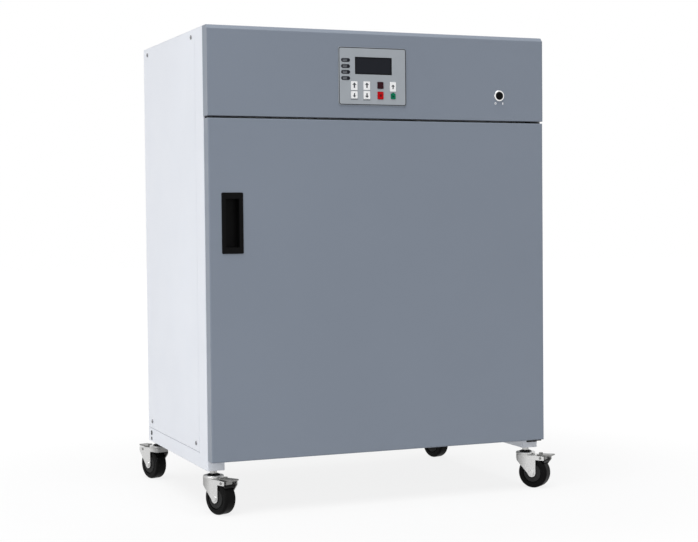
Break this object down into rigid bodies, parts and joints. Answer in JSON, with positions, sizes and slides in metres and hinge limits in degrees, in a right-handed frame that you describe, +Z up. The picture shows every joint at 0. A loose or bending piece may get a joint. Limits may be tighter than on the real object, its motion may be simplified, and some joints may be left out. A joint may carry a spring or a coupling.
{
  "type": "dry heat sterilizer",
  "caption": "Floor-standing dry heat sterilizer cabinet with a side-hinged insulated door, control fascia and braked swivel casters.",
  "frame": {"origin": "on the floor, at the middle of the footprint", "axes": "+X to the right seen from the front, +Y to the back, +Z up"},
  "size_m": [0.7662, 0.5663, 0.948],
  "materials": {
    "white_paint": "fine satin enamel",
    "zinc_sheet": "zinc plated",
    "screw_steel": "dark plated",
    "blackened_steel": "blackened",
    "grey_paint": "fine satin enamel",
    "stainless": "brushed",
    "heater_steel": "heat darkened",
    "mineral_wool": "fibrous",
    "silicone": "matt",
    "black_plastic": "satin",
    "panel_film": "satin film",
    "dark_window": "polished",
    "circuit": "lacquered",
    "white_key": "satin",
    "dark_red_key": "satin",
    "red_key": "satin",
    "green_key": "satin",
    "chrome": "polished",
    "cast_aluminium": "cast",
    "caster_zinc": "bright zinc plated",
    "tyre_black": "smooth",
    "brake_grey": "dark satin"
  },
  "bodies": {
    "cabinet": {"side_frame_left": "white_paint", "side_frame_right": "white_paint", "side_panel_left": "white_paint", "side_panel_right": "white_paint", "top_panel": "white_paint", "rear_panel": "white_paint", "front_frame": "white_paint", "base_pan": "zinc_sheet", "control_deck": "zinc_sheet", "door_magnets": "zinc_sheet", "panel_screws": "screw_steel", "hinge_brackets": "blackened_steel", "control_fascia": "grey_paint", "chamber_liner": "stainless", "air_baffle": "stainless", "shelf_supports": "stainless", "exhaust_vent": "stainless", "temperature_probe": "stainless", "heating_elements": "heater_steel", "chamber_insulation": "mineral_wool", "power_inlet": "black_plastic", "rail_plugs": "black_plastic", "controller_panel": "panel_film", "display_window": "dark_window", "indicator_lenses": "dark_window", "controller_board": "circuit", "power_board": "circuit", "switch_bezel": "chrome", "fan_motor": "cast_aluminium", "caster_stems": "caster_zinc"},
    "door": {"door_skin": "grey_paint", "door_liner": "stainless", "door_insulation": "mineral_wool", "door_gasket": "silicone", "handle_cup": "black_plastic", "magnet_strikes": "zinc_sheet"},
    "key_up_coarse": {"key_up_coarse": "white_key"},
    "key_down_coarse": {"key_down_coarse": "white_key"},
    "key_up_fine": {"key_up_fine": "white_key"},
    "key_down_fine": {"key_down_fine": "white_key"},
    "key_set": {"key_set": "dark_red_key"},
    "key_stop": {"key_stop": "red_key"},
    "key_timer": {"key_timer": "white_key"},
    "key_start": {"key_start": "green_key"},
    "power_rocker": {"power_rocker": "black_plastic"},
    "fan": {"fan_impeller": "cast_aluminium"},
    "lower_shelf": {"shelf_lower": "stainless"},
    "upper_shelf": {"shelf_upper": "stainless"},
    "fork_front_left": {"caster_fork_front_left": "caster_zinc"},
    "wheel_front_left": {"caster_wheel_front_left": "tyre_black"},
    "brake_front_left": {"caster_brake_front_left": "brake_grey"},
    "fork_front_right": {"caster_fork_front_right": "caster_zinc"},
    "wheel_front_right": {"caster_wheel_front_right": "tyre_black"},
    "brake_front_right": {"caster_brake_front_right": "brake_grey"},
    "fork_rear_left": {"caster_fork_rear_left": "caster_zinc"},
    "wheel_rear_left": {"caster_wheel_rear_left": "tyre_black"},
    "brake_rear_left": {"caster_brake_rear_left": "brake_grey"},
    "fork_rear_right": {"caster_fork_rear_right": "caster_zinc"},
    "wheel_rear_right": {"caster_wheel_rear_right": "tyre_black"},
    "brake_rear_right": {"caster_brake_rear_right": "brake_grey"}
  },
  "joints": [
    {"name": "door_hinge", "type": "hinge", "parent": "cabinet", "child": "door", "pos_m": [0.34351, -0.25652, 0.438], "axis": [0, 0, 1], "range_deg": [0, 110]},
    {"name": "key_up_coarse_press", "type": "slide", "parent": "cabinet", "child": "key_up_coarse", "axis": [0, 1, 0], "range_m": [0, 0.0008], "stiffness_N_per_m": 300, "springref_m": -0.0008},
    {"name": "key_down_coarse_press", "type": "slide", "parent": "cabinet", "child": "key_down_coarse", "axis": [0, 1, 0], "range_m": [0, 0.0008], "stiffness_N_per_m": 300, "springref_m": -0.0008},
    {"name": "key_up_fine_press", "type": "slide", "parent": "cabinet", "child": "key_up_fine", "axis": [0, 1, 0], "range_m": [0, 0.0008], "stiffness_N_per_m": 300, "springref_m": -0.0008},
    {"name": "key_down_fine_press", "type": "slide", "parent": "cabinet", "child": "key_down_fine", "axis": [0, 1, 0], "range_m": [0, 0.0008], "stiffness_N_per_m": 300, "springref_m": -0.0008},
    {"name": "key_set_press", "type": "slide", "parent": "cabinet", "child": "key_set", "axis": [0, 1, 0], "range_m": [0, 0.0008], "stiffness_N_per_m": 300, "springref_m": -0.0008},
    {"name": "key_stop_press", "type": "slide", "parent": "cabinet", "child": "key_stop", "axis": [0, 1, 0], "range_m": [0, 0.0008], "stiffness_N_per_m": 300, "springref_m": -0.0008},
    {"name": "key_timer_press", "type": "slide", "parent": "cabinet", "child": "key_timer", "axis": [0, 1, 0], "range_m": [0, 0.0008], "stiffness_N_per_m": 300, "springref_m": -0.0008},
    {"name": "key_start_press", "type": "slide", "parent": "cabinet", "child": "key_start", "axis": [0, 1, 0], "range_m": [0, 0.0008], "stiffness_N_per_m": 300, "springref_m": -0.0008},
    {"name": "rocker_tilt", "type": "hinge", "parent": "cabinet", "child": "power_rocker", "pos_m": [0.2509, -0.27292, 0.8255], "axis": [0, 0, 1], "range_deg": [0, 22]},
    {"name": "fan_spin", "type": "hinge", "parent": "cabinet", "child": "fan", "pos_m": [-0.0085, 0.11898, 0.437], "axis": [0, 1, 0], "continuous": true},
    {"name": "lower_shelf_slide", "type": "slide", "parent": "cabinet", "child": "lower_shelf", "axis": [0, -1, 0], "range_m": [0, 0.032]},
    {"name": "upper_shelf_slide", "type": "slide", "parent": "cabinet", "child": "upper_shelf", "axis": [0, -1, 0], "range_m": [0, 0.032]},
    {"name": "swivel_front_left", "type": "hinge", "parent": "cabinet", "child": "fork_front_left", "pos_m": [-0.3515, -0.22102, 0.074], "axis": [0, 0, 1], "continuous": true},
    {"name": "roll_front_left", "type": "hinge", "parent": "fork_front_left", "child": "wheel_front_left", "pos_m": [-0.34295, -0.24021, 0.0325], "axis": [-0.9135, -0.4067, 0], "continuous": true},
    {"name": "pedal_front_left", "type": "hinge", "parent": "fork_front_left", "child": "brake_front_left", "pos_m": [-0.33482, -0.25848, 0.0645], "axis": [0.9135, 0.4067, 0], "range_deg": [0, 12.5]},
    {"name": "swivel_front_right", "type": "hinge", "parent": "cabinet", "child": "fork_front_right", "pos_m": [0.3345, -0.22102, 0.074], "axis": [0, 0, 1], "continuous": true},
    {"name": "roll_front_right", "type": "hinge", "parent": "fork_front_right", "child": "wheel_front_right", "pos_m": [0.34743, -0.23757, 0.0325], "axis": [-0.788, -0.6157, 0], "continuous": true},
    {"name": "pedal_front_right", "type": "hinge", "parent": "fork_front_right", "child": "brake_front_right", "pos_m": [0.35975, -0.25333, 0.0645], "axis": [0.788, 0.6157, 0], "range_deg": [0, 12.5]},
    {"name": "swivel_rear_left", "type": "hinge", "parent": "cabinet", "child": "fork_rear_left", "pos_m": [-0.3515, 0.21898, 0.074], "axis": [0, 0, 1], "continuous": true},
    {"name": "roll_rear_left", "type": "hinge", "parent": "fork_rear_left", "child": "wheel_rear_left", "pos_m": [-0.35833, 0.23883, 0.0325], "axis": [0.9455, 0.3256, 0], "continuous": true},
    {"name": "pedal_rear_left", "type": "hinge", "parent": "fork_rear_left", "child": "brake_rear_left", "pos_m": [-0.36484, 0.25774, 0.0645], "axis": [-0.9455, -0.3256, 0], "range_deg": [0, 12.5]},
    {"name": "swivel_rear_right", "type": "hinge", "parent": "cabinet", "child": "fork_rear_right", "pos_m": [0.3345, 0.21898, 0.074], "axis": [0, 0, 1], "continuous": true},
    {"name": "roll_rear_right", "type": "hinge", "parent": "fork_rear_right", "child": "wheel_rear_right", "pos_m": [0.32767, 0.23883, 0.0325], "axis": [0.9455, 0.3256, 0], "continuous": true},
    {"name": "pedal_rear_right", "type": "hinge", "parent": "fork_rear_right", "child": "brake_rear_right", "pos_m": [0.32116, 0.25774, 0.0645], "axis": [-0.9455, -0.3256, 0], "range_deg": [0, 12.5]}
  ]
}
